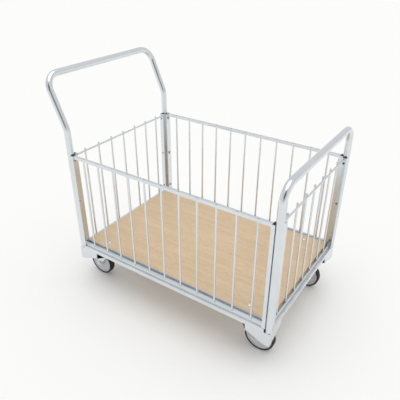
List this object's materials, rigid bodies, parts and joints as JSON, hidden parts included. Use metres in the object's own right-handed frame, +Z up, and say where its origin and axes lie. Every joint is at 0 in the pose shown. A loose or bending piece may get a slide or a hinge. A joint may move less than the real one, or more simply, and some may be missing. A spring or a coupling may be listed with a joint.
{
  "type": "platform cart",
  "caption": "Platform cart with a plywood deck, wire sides, a tall leaning push handle at one end, a low hoop at the other, and fixed and swivel castors.",
  "frame": {"origin": "on the floor, under the middle of the outline", "axes": "+X to the low hoop at the front, +Y to the cart's left, +Z up"},
  "size_m": [1.047, 0.648, 0.9645],
  "materials": {
    "zinc_plated_steel": "bright zinc plating",
    "deck_plywood": "lacquered beech plywood",
    "wheel_centre": "moulded grey",
    "tyre_rubber": "matte black"
  },
  "bodies": {
    "cart": {"castor_front_left_axle": "zinc_plated_steel", "castor_front_left_fork": "zinc_plated_steel", "castor_front_right_axle": "zinc_plated_steel", "castor_front_right_fork": "zinc_plated_steel", "castor_rear_left_plate": "zinc_plated_steel", "castor_rear_right_plate": "zinc_plated_steel", "corner_shoe_front_left": "zinc_plated_steel", "corner_shoe_front_right": "zinc_plated_steel", "corner_shoe_rear_left": "zinc_plated_steel", "corner_shoe_rear_right": "zinc_plated_steel", "cross_member_front": "zinc_plated_steel", "cross_member_middle": "zinc_plated_steel", "cross_member_rear": "zinc_plated_steel", "deck_board": "deck_plywood", "deck_edge_strip_left": "zinc_plated_steel", "deck_edge_strip_right": "zinc_plated_steel", "end_grille_front": "zinc_plated_steel", "end_grille_rear": "zinc_plated_steel", "frame_end_front": "zinc_plated_steel", "frame_end_rear": "zinc_plated_steel", "frame_side_left": "zinc_plated_steel", "frame_side_right": "zinc_plated_steel", "front_hoop": "zinc_plated_steel", "push_handle": "zinc_plated_steel", "side_grille_left": "zinc_plated_steel", "side_grille_right": "zinc_plated_steel"},
    "swivel_left": {"castor_rear_left_fork": "zinc_plated_steel", "castor_rear_left_axle": "zinc_plated_steel"},
    "swivel_right": {"castor_rear_right_fork": "zinc_plated_steel", "castor_rear_right_axle": "zinc_plated_steel"},
    "wheel_front_left": {"castor_front_left_hub": "wheel_centre", "castor_front_left_tyre": "tyre_rubber"},
    "wheel_front_right": {"castor_front_right_hub": "wheel_centre", "castor_front_right_tyre": "tyre_rubber"},
    "wheel_rear_left": {"castor_rear_left_hub": "wheel_centre", "castor_rear_left_tyre": "tyre_rubber"},
    "wheel_rear_right": {"castor_rear_right_hub": "wheel_centre", "castor_rear_right_tyre": "tyre_rubber"}
  },
  "joints": [
    {"name": "castor_swivel_left", "type": "hinge", "parent": "cart", "child": "swivel_left", "pos_m": [-0.358, 0.23, 0.145], "axis": [0, 0, 1], "continuous": true},
    {"name": "wheel_spin_rear_left", "type": "hinge", "parent": "swivel_left", "child": "wheel_rear_left", "pos_m": [-0.403, 0.23, 0.0625], "axis": [0, 1, 0], "continuous": true},
    {"name": "wheel_spin_front_left", "type": "hinge", "parent": "cart", "child": "wheel_front_left", "pos_m": [0.444, 0.23, 0.0625], "axis": [0, 1, 0], "continuous": true},
    {"name": "castor_swivel_right", "type": "hinge", "parent": "cart", "child": "swivel_right", "pos_m": [-0.358, -0.23, 0.145], "axis": [0, 0, 1], "continuous": true},
    {"name": "wheel_spin_rear_right", "type": "hinge", "parent": "swivel_right", "child": "wheel_rear_right", "pos_m": [-0.403, -0.23, 0.0625], "axis": [0, 1, 0], "continuous": true},
    {"name": "wheel_spin_front_right", "type": "hinge", "parent": "cart", "child": "wheel_front_right", "pos_m": [0.444, -0.23, 0.0625], "axis": [0, 1, 0], "continuous": true}
  ]
}
